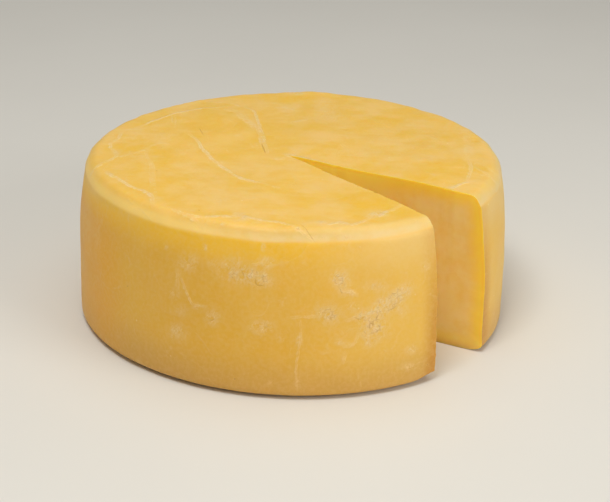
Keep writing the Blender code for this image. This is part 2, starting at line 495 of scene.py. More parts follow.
# Dry patches: middle and half sizes in points of the camera's frame, slant in degrees,
# strength.
PATCHES = (
    (188, 262, 11, 9, 0, 0.50), (173, 294, 5, 5, 0, 0.45), (180, 310, 7, 6, 0, 0.35),
    (198, 306, 7, 3, 0, 0.50), (212, 317, 7, 7, 0, 0.70), (176, 331, 8, 7, 0, 0.60),
    (212, 262, 5, 4, 0, 0.45), (232, 270, 13, 11, 15, 0.75), (254, 277, 16, 8, 15, 1.00),
    (266, 262, 8, 6, 0, 0.55), (261, 326, 12, 6, 0, 0.65), (280, 337, 4, 5, 0, 0.40),
    (340, 279, 9, 8, 20, 0.90), (347, 292, 9, 4, 10, 0.60), (376, 286, 12, 5, 0, 0.55),
    (371, 313, 18, 5, -14, 0.85), (395, 298, 18, 7, -38, 0.90), (373, 328, 14, 13, -15, 0.85),
    (386, 303, 13, 8, -30, 0.85), (403, 291, 8, 5, -40, 0.60), (402, 310, 7, 6, -50, 0.50),
    (368, 341, 5, 6, 0, 0.55), (410, 349, 6, 4, -20, 0.50), (328, 314, 12, 9, 15, 0.80),
    (409, 366, 7, 3, -5, 0.60), (339, 342, 5, 3, 0, 0.50),
    (349, 344, 5, 2, 0, 0.50), (343, 356, 3, 4, 0, 0.40), (299, 340, 3, 5, 0, 0.70),
    (297, 381, 3, 5, 0, 0.60), (205, 247, 2, 3, 0, 0.90), (263, 247, 2, 4, 0, 1.00),
    (166, 246, 2, 2, 0, 0.80), (269, 383, 2, 2, 0, 0.60), (281, 303, 2, 2, 0, 0.60),
    (425, 266, 5, 4, 0, 0.55), (412, 349, 3, 3, 0, 0.45), (351, 306, 6, 4, 0, 0.50),
    (86, 222, 4, 22, 0, 0.30), (96, 236, 3, 20, 0, 0.25),
    (328, 110, 15, 12, 40, 0.40), (200, 176, 34, 14, 0, 0.20), (219, 200, 8, 4, 0, 0.42),
    (135, 136, 14, 7, -8, 0.26), (164, 137, 16, 8, -8, 0.22), (241, 216, 7, 4, 0, 0.70),
    (222, 223, 2, 1.5, 0, 0.90), (298, 228, 3, 1.5, 0, 0.90), (321, 222, 4, 2, 0, 0.75),
    (341, 222, 3, 2, 0, 0.75), (376, 214, 10, 4, 0, 0.60), (384, 213, 4, 2, 0, 0.60),
    (316, 237, 3, 2, 0, 0.60), (324, 236, 4, 2, 0, 0.55), (347, 236, 5, 1.6, 0, 0.85),
    (280, 237, 6, 2, 0, 0.40), (238, 135, 4, 1.5, 0, 0.40), (283, 129, 4, 1.5, 0, 0.35),
    (366, 153, 8, 4, 0, 0.22), (297, 150, 6, 3, 0, 0.40), (109, 174, 4, 3, 0, 0.65),
    (148, 193, 5, 3, 20, 0.65), (116, 152, 4, 3, 0, 0.60), (145, 149, 4, 2, 0, 0.45),
    (252, 122, 7, 6, 40, 0.35), (415, 123, 14, 5, 20, 0.20), (351, 117, 14, 3, 0, 0.22),
    (453, 187, 4, 2, 0, 0.80), (468, 150, 5, 12, 0, 0.30), (462, 131, 8, 5, 30, 0.30),
    (284, 107, 10, 4, 0, 0.30), (298, 121, 8, 3, 0, 0.25), (94, 173, 6, 4, 0, 0.25),
    (382, 229, 24, 7, 0, 0.22), (306, 158, 20, 2, 14, 0.85), (296, 92.5, 9, 1.4, 0, 1.00),
    (260, 210, 30, 5, 0, 0.18), (420, 150, 22, 10, 0, 0.14),
)

# A patch's thickness through the rind, and its bell: the fall and power of the distance.
PATCH_THICKNESS = 10.0 * MM
PATCH_FALL = 0.7
PATCH_POWER = 1.5

# Marks of the same kinds on the side that the camera doesn't see, drawn between these turns
# round the wheel in degrees, heights in metres, slants and bends in radians, sizes in
# millimetres, and strengths.
HIDDEN_TURNS = (-36.0, 136.0)
HIDDEN_PATCHES = 26
PATCH_SEED = 11
PATCH_HEIGHTS = (0.012, 0.100)
PATCH_SLANTS = (-0.7, 0.7)
PATCH_LENGTHS = (2.0, 12.0)
PATCH_WIDTHS = (2.0, 8.0)
PATCH_STRENGTHS = (0.35, 0.95)
HIDDEN_CREASES = 9
CREASE_SEED = 5
CREASE_HEIGHTS = (0.02, 0.09)
CREASE_SLANTS = (-1.2, 1.2)
CREASE_STRETCHES = 3
CREASE_LENGTHS = (7.0, 14.0)
CREASE_BENDS = (-0.5, 0.5)
CREASE_STRENGTHS = (0.4, 0.8)
CREASE_WIDTHS = (0.7, 1.1)


def smooth_path(points, steps=8):
    """Catmull-Rom curve through points: each stretch is a cubic in the way along it, whose
    slopes at its ends are half the step between the neighbouring points."""
    points = np.asarray(points, dtype=float)
    first, last = 2 * points[0] - points[1], 2 * points[-1] - points[-2]
    padded = np.vstack([first, points, last])
    t = np.linspace(0.0, 1.0, steps, endpoint=False)[None, :, None]
    p0, p1, p2, p3 = (padded[i:len(padded) - 3 + i, None, :] for i in range(4))
    curve = 0.5 * (2 * p1 + (p2 - p0) * t + (2 * p0 - 5 * p1 + 4 * p2 - p3) * t ** 2
                   + (3 * p1 - 3 * p2 + p3 - p0) * t ** 3)
    return np.vstack([curve.reshape(-1, points.shape[1]), points[-1:]])


class Marks:
    """Attribute fields on the rind's points: creases by layer, and dryness."""

    def __init__(self, points, normals):
        count = len(points)
        self.points, self.normals = points, normals
        self.offset = np.zeros((CREASE_LAYERS, count))
        self.weight = np.zeros((CREASE_LAYERS, count))
        self.ridge = np.zeros(count)
        self.dry = np.zeros(count)

    def add_crease(self, path, layer, strength, width):
        """Signed distance to the path, in half widths, and a weight that fades at its ends.

        The distance is the part of the step from the nearest sample of the path that lies
        across its tangent in the surface. A layer keeps the stronger crease at each point.
        """
        low, high = path.min(axis=0) - CREASE_SEEN, path.max(axis=0) + CREASE_SEEN
        index = np.flatnonzero(((self.points > low) & (self.points < high)).all(axis=1))
        spots = self.points[index]
        closest = ((spots[:, None, :] - path[None, :, :]) ** 2).sum(axis=2).argmin(axis=1)
        tangent = np.gradient(path, axis=0)
        tangent /= np.linalg.norm(tangent, axis=1, keepdims=True)
        step = spots - path[closest]
        way = tangent[closest]
        across = (np.cross(way, step) * self.normals[index]).sum(axis=1)
        beyond = np.abs((way * step).sum(axis=1))
        along = closest / (len(path) - 1.0)
        ends = part_way(np.minimum(along, 1.0 - along), *CREASE_ENDS)
        ends = ends * part_way(beyond, *CREASE_PAST)
        weight = strength * ends * part_way(np.abs(across), *CREASE_SIDES)
        stronger = weight > self.weight[layer, index]
        kept = index[stronger]
        self.offset[layer, kept] = across[stronger] / (width * MM)
        self.weight[layer, kept] = weight[stronger]
        if layer != HAIRLINES:
            ridge = strength * ends * np.exp(-(across / CREASE_RISE_WIDTH) ** 2)
            self.ridge[index] = np.maximum(self.ridge[index], ridge)

    def add_patch(self, middle, first, second, strength):
        """Oval patch: strength times a bell of the distance from its middle, which is
        measured in shares of its two half axes and of its thickness."""
        step = self.points - middle
        axes = np.stack([first, second])
        shares = step @ axes.T @ np.linalg.inv(axes @ axes.T)
        beyond = np.linalg.norm(step - shares @ axes, axis=1) / PATCH_THICKNESS
        reach = (shares ** 2).sum(axis=1) + beyond ** 2
        bell = strength * np.exp(-PATCH_FALL * reach ** PATCH_POWER)
        self.dry = 1.0 - (1.0 - self.dry) * (1.0 - bell)


def seen_marks(marks):
    """The creases and patches that are given in points of the camera's frame."""
    for layer, strength, width, spots in CREASES:
        marks.add_crease(on_wheel(smooth_path(spots)), layer, strength, width)
    for x, y, half_x, half_y, slant, strength in PATCHES:
        cosine, sine = math.cos(math.radians(slant)), math.sin(math.radians(slant))
        ends = on_wheel([(x, y), (x + half_x * cosine, y + half_x * sine),
                         (x - half_x * cosine, y - half_x * sine),
                         (x - half_y * sine, y + half_y * cosine),
                         (x + half_y * sine, y - half_y * cosine)])
        marks.add_patch(ends[0], (ends[1] - ends[2]) / 2.0, (ends[3] - ends[4]) / 2.0,
                        strength)


def hidden_marks(marks):
    """Patches and creases of the same kinds, scattered over the side that faces away."""
    draw = np.random.default_rng(PATCH_SEED)
    upright = np.array((0.0, 0.0, 1.0))
    for _ in range(HIDDEN_PATCHES):
        turn = math.radians(draw.uniform(*HIDDEN_TURNS))
        middle = on_flank(turn, draw.uniform(*PATCH_HEIGHTS))
        slant = draw.uniform(*PATCH_SLANTS)
        level = np.array((-math.sin(turn), math.cos(turn), 0.0))
        first = math.cos(slant) * level + math.sin(slant) * upright
        second = math.cos(slant) * upright - math.sin(slant) * level
        marks.add_patch(middle, draw.uniform(*PATCH_LENGTHS) * MM * first,
                        draw.uniform(*PATCH_WIDTHS) * MM * second,
                        draw.uniform(*PATCH_STRENGTHS))
    draw = np.random.default_rng(CREASE_SEED)
    for number in range(HIDDEN_CREASES):
        spots = [np.array((math.radians(draw.uniform(*HIDDEN_TURNS)),
                           draw.uniform(*CREASE_HEIGHTS)))]
        heading = draw.uniform(*CREASE_SLANTS)
        length = draw.uniform(*CREASE_LENGTHS) * MM
        for _ in range(CREASE_STRETCHES):
            heading += draw.uniform(*CREASE_BENDS)
            step = length * np.array((math.cos(heading) / RADIUS, math.sin(heading)))
            spots.append(spots[-1] + step)
        path = smooth_path(spots)
        marks.add_crease(on_flank(path[:, 0], path[:, 1]), number % HAIRLINES,
                         draw.uniform(*CREASE_STRENGTHS), draw.uniform(*CREASE_WIDTHS))


# ---------------------------------------------------------------- the wheel's mesh

def grid_faces(rows, columns, first, flip):
    """Quads of a grid of points numbered along its rows from first."""
    number = first + np.arange(rows * columns).reshape(rows, columns)
    a, b = number[:-1, :-1], number[:-1, 1:]
    c, d = number[1:, 1:], number[1:, :-1]
    quads = np.stack([a, d, c, b] if flip else [a, b, c, d], axis=-1)
    return quads.reshape(-1, 4)


def add_relief(points, normals, out, ridge):
    """Rind pushed out along its normals by its creases and by soft unevenness.

    The side, the whole rind and the rim have unevenness of their own, which fades at the foot.
    """
    height = points[..., 2]
    distance = from_axis(points[..., 0], points[..., 1])[1]
    rim = ramp(height, *RIM_UNEVEN_UP) * ramp(distance, *RIM_UNEVEN_OUT)
    relief = (CREASE_RISE * ridge + out * unevenness(points, SIDE_UNEVEN)
              + unevenness(points, RIND_UNEVEN) + rim * unevenness(points, RIM_UNEVEN))
    relief = relief * part_way(height, 0.0, FOOT_CALM)
    return points + relief[..., None] * normals


def across_cut(push, turn):
    """Steps of a given length at right angles to a cut face, which stands at a turn."""
    return push[..., None] * np.array((math.cos(turn), math.sin(turn), 0.0))


def work_cut_edges(points, x, y, z):
    """Ragged edges of the cut, and the foot's corner lifted beside the near one.

    x, y and z are the places before the relief. The ragged push fades with the distance from
    the edge, towards the cut's tip and towards the base. Returns the points, and the distance
    of each from the nearer edge.
    """
    tip_away = np.hypot(x - CUT_TIP[0], y - CUT_TIP[1])
    calm = ramp(tip_away, *RAGGED_FROM_TIP) * ramp(z, *RAGGED_UP)
    nearest = math.inf
    for column, turn in ((0, math.radians(CUT_ANGLE)), (-1, 0.0)):
        gap = np.linalg.norm(points - points[:, [column]], axis=-1)
        nearest = np.minimum(nearest, gap)
        push = unevenness(points, CUT_RAGGED) * calm * (1.0 - ramp(gap, 0.0, RAGGED_REACH))
        points = points + across_cut(push, turn)
    corner = (from_axis(x, y)[1] > FOOT_CORNER_OUT) * (1.0 - ramp(z, 0.0, FOOT_CORNER_HEIGHT))
    points[..., 2] += FOOT_CORNER * corner * (1.0 - ramp(gap, 0.0, FOOT_CORNER_REACH))
    return points, nearest


def cut_face(edge, turn):
    """Cut face as a grid of rows up the rim by columns from the tip to the rim.

    The first columns lie at equal shares between the tip's line and a straight line from the
    base's outer edge to the top's, and the last ones between that line and the rim. The top
    row follows the rind's own edge points to within microns. The base row runs along the
    rind's base edge in shorter steps, so the two meet there without sharing every point.
    Returns points, and the depth of each below the rind.
    """
    base, rim = edge[:STEPS_BASE + 1], edge[STEPS_BASE:-STEPS_TOP]
    top = edge[-STEPS_TOP - 1:][::-1]
    climb = np.linspace(0.0, 1.0, len(rim))[:, None, None]
    pull = np.linspace(0.0, 1.0, STEPS_TO_RIM + 1)[1:][None, :, None]
    base_share = np.linspace(0.0, 1.0, STEPS_BASE + 1)
    top_share = np.linspace(0.0, 1.0, STEPS_TOP + 1)
    even_base = np.stack([np.interp(top_share, base_share, base[:, axis]) for axis in range(3)],
                         axis=-1)
    inner = even_base[None] * (1.0 - climb) + top[None] * climb
    outer = inner[:, -1:] * (1.0 - pull) + rim[:, None] * pull
    grid = np.concatenate([inner, outer], axis=1)
    x, y, z = (grid[..., axis] for axis in range(3))
    from_top = lifted(x, y, HEIGHT) - slump(x, y) - z
    rim_out = np.interp(z, rim[:, 2], from_axis(rim[:, 0], rim[:, 1])[1])
    depth = np.minimum(np.minimum(z, from_top), rim_out - from_axis(x, y)[1])
    tip_away = np.hypot(x - CUT_TIP[0], y - CUT_TIP[1])
    fade = part_way(depth, 0.0, PASTE_CALM) * part_way(tip_away, *PASTE_FROM_TIP)
    grid = grid + across_cut(unevenness(grid, PASTE_UNEVEN) * fade, turn)
    return grid, np.maximum(depth, 0.0)


def build_wheel():
    """The whole wheel as one mesh, with its marks kept as attributes."""
    x, y, z, out, up = rind_grid()
    rows, columns = x.shape
    points = np.stack([x, y, z], axis=-1)
    distance = from_axis(x, y)[1] + TINY
    normals = np.stack([(x - AXIS[0]) / distance * out, (y - AXIS[1]) / distance * out,
                        up + 0.0 * x], axis=-1)
    marks = Marks(points.reshape(-1, 3), normals.reshape(-1, 3))
    seen_marks(marks)
    hidden_marks(marks)
    points = add_relief(points, normals, out, marks.ridge.reshape(rows, columns))
    points, cut_gap = work_cut_edges(points, x, y, z)
    points[-1] = points[-1, :1]
    far_face, far_depth = cut_face(points[:, 0], math.radians(CUT_ANGLE))
    near_face, near_depth = cut_face(points[:, -1], 0.0)
    count = rows * columns
    verts = np.concatenate([grid.reshape(-1, 3) for grid in (points, far_face, near_face)])
    faces = np.concatenate([
        grid_faces(rows, columns, 0, False),
        grid_faces(*far_depth.shape, count, True),
        grid_faces(*near_depth.shape, count + far_depth.size, False)])
    mesh = bpy.data.meshes.new("cheddar")
    mesh.from_pydata(verts.tolist(), [], faces.tolist())
    paste_faces = np.zeros(len(faces), dtype=np.int32)
    paste_faces[(rows - 1) * (columns - 1):] = 1
    mesh.polygons.foreach_set("material_index", paste_faces)
    add_attributes(mesh, marks, cut_gap.ravel(),
                   np.concatenate([np.zeros(count), far_depth.ravel(), near_depth.ravel()]))
    return join_grids(mesh)


def keep(mesh, name, values):
    """Numbers, or vectors as rows of three, kept on the mesh's points under a name."""
    kind, part = ("FLOAT", "value") if values.ndim == 1 else ("FLOAT_VECTOR", "vector")
    field = mesh.attributes.new(name, kind, "POINT")
    field.data.foreach_set(part, values.astype(np.float32).ravel())


def add_attributes(mesh, marks, cut_gap, depth):
    """Crease layers as vectors (offset, weight, 0); dryness, way to the cut and depth as
    numbers. The paste has no marks."""
    paste = np.zeros(len(depth) - len(marks.dry))
    for layer in range(CREASE_LAYERS):
        offset = np.concatenate([marks.offset[layer], paste + FAR])
        weight = np.concatenate([marks.weight[layer], paste])
        keep(mesh, f"crease_{layer}", np.stack([offset, weight, 0.0 * weight], axis=-1))
    keep(mesh, "dry", np.concatenate([marks.dry, paste]))
    keep(mesh, "cut_gap", np.concatenate([cut_gap, paste]))
    keep(mesh, "depth", depth)


def placed(name, data):
    """A new object in the scene, at the origin."""
    thing = bpy.data.objects.new(name, data)
    bpy.context.collection.objects.link(thing)
    return thing


def join_grids(mesh):
    """Join the grids at the edge points that they share, and turn every face outwards."""
    shape = bmesh.new()
    shape.from_mesh(mesh)
    bmesh.ops.remove_doubles(shape, verts=shape.verts, dist=MERGE_DISTANCE)
    bmesh.ops.dissolve_degenerate(shape, edges=shape.edges, dist=MERGE_DISTANCE)
    bmesh.ops.recalc_face_normals(shape, faces=shape.faces)
    shape.to_mesh(mesh)
    shape.free()
    mesh.shade_smooth()
    mesh.set_sharp_from_angle(angle=math.radians(SHARP_ANGLE))
    return placed("cheddar", mesh)


# ---------------------------------------------------------------- materials

class Value:
    """A number that varies over a surface; arithmetic on it adds Math nodes."""

    def __init__(self, finish, socket):
        self.finish, self.socket = finish, socket

    def _math(self, operation, first, second):
        """One Math node on two numbers or values."""
        node = self.finish.add("ShaderNodeMath", {"operation": operation},
                               {0: first, 1: second})
        return Value(self.finish, node.outputs[0])

    def __add__(self, other):
        return self._math("ADD", self, other)

    __radd__ = __add__

    def __mul__(self, other):
        return self._math("MULTIPLY", self, other)

    __rmul__ = __mul__

    def __sub__(self, other):
        return self._math("SUBTRACT", self, other)

    def __rsub__(self, other):
        return self._math("SUBTRACT", other, self)

    def __abs__(self):
        return self._math("ABSOLUTE", self, 0.0)

    def most(self, other):
        """The larger of two."""
        return self._math("MAXIMUM", self, other)

    def between(self, low, high, start=0.0, end=1.0):
        """Smooth step from start at low to end at high."""
        node = self.finish.add("ShaderNodeMapRange", {"interpolation_type": "SMOOTHSTEP"},
                               {"Value": self, "From Min": low, "From Max": high,
                                "To Min": start, "To Max": end})
        return Value(self.finish, node.outputs["Result"])


class Finish:
    """A material under construction."""

    def __init__(self, name):
        self.material = bpy.data.materials.new(name)
        self.material.use_nodes = True
        self.tree = self.material.node_tree
        self.shader = self.tree.nodes["Principled BSDF"]
        self.place = self.add("ShaderNodeTexCoord", {}, {}).outputs["Object"]

    def add(self, kind, settings, values):
        """A node of any kind: its settings first, then its sockets' values or links."""
        node = self.tree.nodes.new(kind)
        for name, setting in settings.items():
            setattr(node, name, setting)
        for name, value in values.items():
            self.feed(node.inputs[name], value)
        return node

    def feed(self, socket, value):
        """A socket's own value, or a link into it."""
        if isinstance(value, Value):
            value = value.socket
        if isinstance(value, bpy.types.NodeSocket):
            self.tree.links.new(value, socket)
        else:
            socket.default_value = value

    def stretched(self, lengths, turn=(0.0, 0.0, 0.0)):
        """Object coordinates along turned axes, each divided by its own length."""
        node = self.add("ShaderNodeMapping", {"vector_type": "TEXTURE"},
                        {"Vector": self.place, "Scale": lengths, "Rotation": turn})
        return node.outputs["Vector"]

    def noise(self, size, detail=3.0, rough=0.5, place=None, bend=0.0):
        """Soft noise whose lumps are about size across, from 0 to 1."""
        node = self.add("ShaderNodeTexNoise", {"normalize": True},
                        {"Vector": place or self.place, "Scale": 1.0 / size,
                         "Detail": detail, "Roughness": rough, "Distortion": bend})
        return Value(self, node.outputs["Fac"])

    def cells(self, size, feature="F1", place=None):
        """Distance field of scattered cells about size across, in cell sizes."""
        node = self.add("ShaderNodeTexVoronoi", {"feature": feature},
                        {"Vector": place or self.place, "Scale": 1.0 / size})
        return Value(self, node.outputs["Distance"])

    def wandering(self, size, amount):
        """Object coordinates pushed about by coloured noise, for lines that aren't straight."""
        node = self.add("ShaderNodeTexNoise", {}, {"Vector": self.place, "Scale": 1.0 / size,
                                                   "Detail": 2.0})
        centred = self.add("ShaderNodeVectorMath", {"operation": "SUBTRACT"},
                           {0: node.outputs["Color"], 1: (0.5, 0.5, 0.5)})
        pushed = self.add("ShaderNodeVectorMath", {"operation": "MULTIPLY_ADD"},
                          {0: centred.outputs[0], 1: (amount, amount, amount),
                           2: self.place})
        return pushed.outputs[0]

    def attribute(self, name, output="Fac"):
        """A number kept on the mesh, or with the output Vector a vector."""
        node = self.add("ShaderNodeAttribute", {"attribute_name": name}, {})
        return Value(self, node.outputs[output])

    def parts(self, vector):
        """The three numbers of a vector."""
        node = self.add("ShaderNodeSeparateXYZ", {}, {"Vector": vector})
        return [Value(self, output) for output in node.outputs]

    def blend(self, factor, first, second):
        """Colour between first and second."""
        node = self.add("ShaderNodeMix", {"data_type": "RGBA", "clamp_factor": True},
                        {"Factor": factor})
        self.feed(node.inputs[6], first)
        self.feed(node.inputs[7], second)
        return node.outputs[2]

    def surface(self, colour, roughness, height, depth):
        """Colour, roughness and the normal of a surface whose height of 1 stands depth proud."""
        bump = self.add("ShaderNodeBump", {}, {"Height": height, "Distance": depth,
                                               "Strength": 1.0})
        for name, value in (("Base Color", colour), ("Roughness", roughness),
                            ("Normal", bump.outputs["Normal"]), ("Specular IOR Level", SHEEN)):
            self.feed(self.shader.inputs[name], value)

    def soft_body(self, weight, reach, colours):
        """Light that soaks into the cheese and comes out again near by."""
        self.shader.subsurface_method = "RANDOM_WALK"
        for name, value in (("Weight", weight), ("Radius", colours), ("Scale", reach)):
            self.feed(self.shader.inputs[f"Subsurface {name}"], value)


def srgb(red, green, blue):
    """Linear colour of screen values from 0 to 255."""
    def linear(value):
        value = value / 255.0
        return value / 12.92 if value <= 0.04045 else ((value + 0.055) / 1.055) ** 2.4
    return (linear(red), linear(green), linear(blue), 1.0)


TOP_YELLOW = srgb(241, 191, 56)
TOP_PALE = srgb(244, 201, 113)
SIDE_DEEP = srgb(233, 179, 54)
SIDE_WARM = srgb(234, 184, 72)
# Paler front of the side, facing the front lamp: painted sheen.
SIDE_PAINTED_SHEEN = srgb(238, 192, 84)
# Deeper, warmer yellow of the far left of the side: painted shade.
SIDE_LEFT_SHADE = srgb(238, 169, 20)
# Deeper band under the rim: partly the rind's own colour, partly painted glow of light through
# the rim.
SHOULDER_DEEP_AND_PAINTED_GLOW = srgb(250, 197, 52)
# Pale band on the rim and up the front: painted highlight and sheen.
RIM_PAINTED_PALE_LIGHT = srgb(234, 208, 148)
RIM_UPPER = srgb(233, 198, 114)
RIM_DEEP = srgb(225, 183, 76)
# Brighter rim towards the light: painted light.
RIM_PAINTED_BRIGHT_LIGHT = srgb(255, 214, 120)
# Darker, greyer foot: partly the rind's own tone, partly painted shade.
FOOT_TAN_AND_SHADE = srgb(203, 155, 80)
# Darker rind beside the cut: painted shade.
CUT_EDGE_SHADE = srgb(196, 128, 14)
CREASE_PALE = srgb(249, 220, 160)
DRY_PALE = srgb(240, 206, 142)
DRY_CRACK = srgb(200, 142, 52)
HAIRLINE = srgb(190, 130, 40)
PIT_BROWN = srgb(168, 108, 34)
PASTE_PALE = srgb(244, 212, 134)
PASTE_WARM = srgb(242, 202, 108)
# Yellow paste under the rind, brighter than its own colour: partly painted light.
PASTE_EDGE_AND_LIGHT = srgb(252, 210, 64)
# Bright paste near the cut's tip: painted glow of light through the cheese.
PASTE_TIP_GLOW = srgb(255, 222, 104)
PASTE_SKIN = srgb(255, 197, 72)
PASTE_FOOT = srgb(250, 182, 92)
FLOOR_GREY = srgb(222, 220, 215)
FLOOR_PALE = srgb(228, 226, 221)
FLOOR_ROUGHNESS = 0.85
SHEEN = 0.40
RIND_GRAIN = 0.22 * MM
PASTE_GRAIN = 0.16 * MM

# Level directions that the rind's colours follow: to the far left of the side, where painted
# shade deepens it, to its front, where painted sheen pales it, and to the light, where the rim
# is painted lighter. With them, how far out from the axis each colour begins and is full.
TO_LEFT = (-0.766, 0.643)
TO_FRONT = (0.25, -0.97)
TO_LIGHT = (-0.996, 0.087)
LEFT_OUT = (108.0 * MM, 136.0 * MM)
GENTLE_OUT = (94.0 * MM, 124.0 * MM)
FRONT_OUT = (70.0 * MM, 146.0 * MM)
FACING_OUT = (20.0 * MM, 90.0 * MM)
LIT_OUT = (90.0 * MM, 140.0 * MM)
TOWARD_CUT = (-112.0 * MM, -55.0 * MM)

# Rings: level distances from a middle at which a colour begins and is full.
MIDDLE = (0.0, 0.0)
HEART = (-12.0 * MM, 52.0 * MM)
HEART_RING = (60.0 * MM, 14.14 * MM)
EDGE_RING = (128.84 * MM, 144.91 * MM)
UPPER_RING = (135.65 * MM, 141.42 * MM)
CUT_TIP_RING = (100.0 * MM, 34.64 * MM)

# Heights at which a colour begins and is full.
SHOULDER_UP = (86.0 * MM, 106.0 * MM)
FRONT_SHEEN_UP = (78.0 * MM, 105.0 * MM)
FOOT_DOWN = (38.0 * MM, 2.0 * MM)
CRISP_UP = (107.1 * MM, 109.0 * MM)
GENTLE_UP = (99.0 * MM, 109.0 * MM)
EDGE_UP = (106.0 * MM, 110.0 * MM)
LOW_DOWN = (115.2 * MM, 111.0 * MM)
UPPER_UP = (108.5 * MM, 112.5 * MM)
RIM_UP = (107.4 * MM, 109.4 * MM)
RIM_DOWN = (115.5 * MM, 110.5 * MM)
BESIDE_CUT_DOWN = (110.0 * MM, 20.0 * MM)
PASTE_EDGE_UP = (0.0, 16.0 * MM)
PASTE_TIP_UP = (88.0 * MM, 108.0 * MM)
PASTE_FOOT_DOWN = (7.0 * MM, 0.5 * MM)

# Distances from the cut along the rind, over which the rind is painted darker as painted shade,
# and depths below the rind in the paste.
BESIDE_CUT = (15.0 * MM, 0.0)
PASTE_EDGE_DEPTH = (14.0 * MM, 2.5 * MM)
PASTE_SKIN_DEPTH = (3.5 * MM, 0.6 * MM)


def out_to(across, along, direction):
    """Distance out from the axis along a level direction."""
    return across * direction[0] + along * direction[1]


def ring(across, along, middle, begins, full):
    """Smooth step between two level distances from a middle, taken on their squares."""
    aside, beyond = across - middle[0], along - middle[1]
    return (aside * aside + beyond * beyond).between(begins ** 2, full ** 2)


def bare_rind(rind, tone, middling):
    """Colour of the rind without its marks: mottled top; a deeper side below a crisp line, partly
    its own colour and partly painted shade; a deeper, warmer far left as painted shade; a paler
    front with painted sheen; a deeper band under the rim, partly painted glow; a darker, greyer
    foot, partly painted shade; painted light on the rounded rim, brightest towards the light;
    and painted shade on the side where it meets the cut, more so towards the foot."""
    across, along, height = rind.parts(rind.place)
    level = height + (rind.noise(30.0 * MM, 2.0, 0.5) - 0.5) * (2.0 * MM)

    top = rind.blend(tone, TOP_YELLOW, TOP_PALE)
    top = rind.blend(ring(across, along, HEART, *HEART_RING) * 0.30, top, TOP_YELLOW)

    out_left, out_front = out_to(across, along, TO_LEFT), out_to(across, along, TO_FRONT)
    left, front = out_left.between(*LEFT_OUT), out_front.between(*FRONT_OUT)
    side = rind.blend(tone, SIDE_DEEP, SIDE_WARM)
    # The far left of the side is painted a deeper, warmer yellow: painted shade.
    side = rind.blend(left * 0.72, side, SIDE_LEFT_SHADE)
    # The front, facing the front lamp, is painted paler: painted sheen.
    side = rind.blend(front * 0.85, side, SIDE_PAINTED_SHEEN)
    # Deeper band under the rim, weaker on the lit front: partly the rind's own colour, partly
    # painted glow where the rim turns from the light.
    shoulder = level.between(*SHOULDER_UP) * (1.0 - front * 0.8)
    side = rind.blend(shoulder * 0.85, side, SHOULDER_DEEP_AND_PAINTED_GLOW)
    # A pale band up the front towards the rim: painted sheen.
    side = rind.blend(front * level.between(*FRONT_SHEEN_UP) * 0.42, side, RIM_PAINTED_PALE_LIGHT)
    # Darker, greyer towards the foot, less so on the left: partly the rind's own tone, partly
    # painted shade.
    foot = height.between(*FOOT_DOWN) * (0.70 - left * 0.35)
    side = rind.blend(foot, side, FOOT_TAN_AND_SHADE)

    # The crisp line where the deeper side meets the paler top: partly the rind's own colours,
    # partly painted shade where the side turns from the light.
    crisp, gentle = level.between(*CRISP_UP), level.between(*GENTLE_UP)
    line = crisp + (gentle - crisp) * out_left.between(*GENTLE_OUT)
    colour = rind.blend(line, side, top)

    # Painted light on the rounded rim: a band at its edge and a pale band lower down, brightest
    # towards the light.
    lit = out_to(across, along, TO_LIGHT).between(*LIT_OUT)
    low = lit * level.between(*LOW_DOWN)
    edge = ring(across, along, MIDDLE, *EDGE_RING) * level.between(*EDGE_UP)
    edge_colour = rind.blend(lit * 0.4, TOP_PALE, TOP_YELLOW)
    colour = rind.blend(edge * (0.5 + low * 0.4), colour, rind.blend(low, edge_colour, RIM_PAINTED_BRIGHT_LIGHT))
    upper = ring(across, along, MIDDLE, *UPPER_RING) * out_front.between(*FACING_OUT)
    upper_colour = rind.blend(across.between(*TOWARD_CUT), RIM_DEEP, RIM_UPPER)
    colour = rind.blend(upper * level.between(*UPPER_UP) * 0.85, colour, upper_colour)
    rim = level.between(*RIM_UP) * level.between(*RIM_DOWN)
    rim = rim * 0.70 * middling.between(0.30, 0.60, 0.5, 1.0)
    colour = rind.blend(rim, colour, rind.blend(lit, RIM_PAINTED_PALE_LIGHT, RIM_PAINTED_BRIGHT_LIGHT))

    # Painted shade on the rind beside the cut, below the crisp line and deeper towards the foot.
    cut_edge_shade = rind.attribute("cut_gap").between(*BESIDE_CUT)
    cut_edge_shade = cut_edge_shade * height.between(*BESIDE_CUT_DOWN, 0.22, 0.75)
    return rind.blend(cut_edge_shade * (1.0 - crisp), colour, CUT_EDGE_SHADE)


def dry_patches(rind, wander):
    """Pale, blotchy and wrinkled into small folds: paleness, flakes and dark cracks."""
    dry = rind.attribute("dry")
    blotch = rind.noise(4.2 * MM, 4.0, 0.65, wander)
    folds = rind.noise(1.7 * MM, 3.0, 0.6, rind.stretched((1.0, 1.0, 2.0), (0.5, 0.3, 0.0)),
                       0.9)
    paleness = dry * (blotch.between(0.36, 0.58) * 0.80 + folds.between(0.43, 0.62) * 0.50)
    flakes = folds.between(0.54, 0.66) * dry.between(0.20, 0.80)
    crackle = rind.cells(3.4 * MM, "DISTANCE_TO_EDGE", wander).between(0.06, 0.01)
    crack = crackle * dry.between(0.35, 0.80) * blotch.between(0.46, 0.60)
    return paleness, flakes, crack


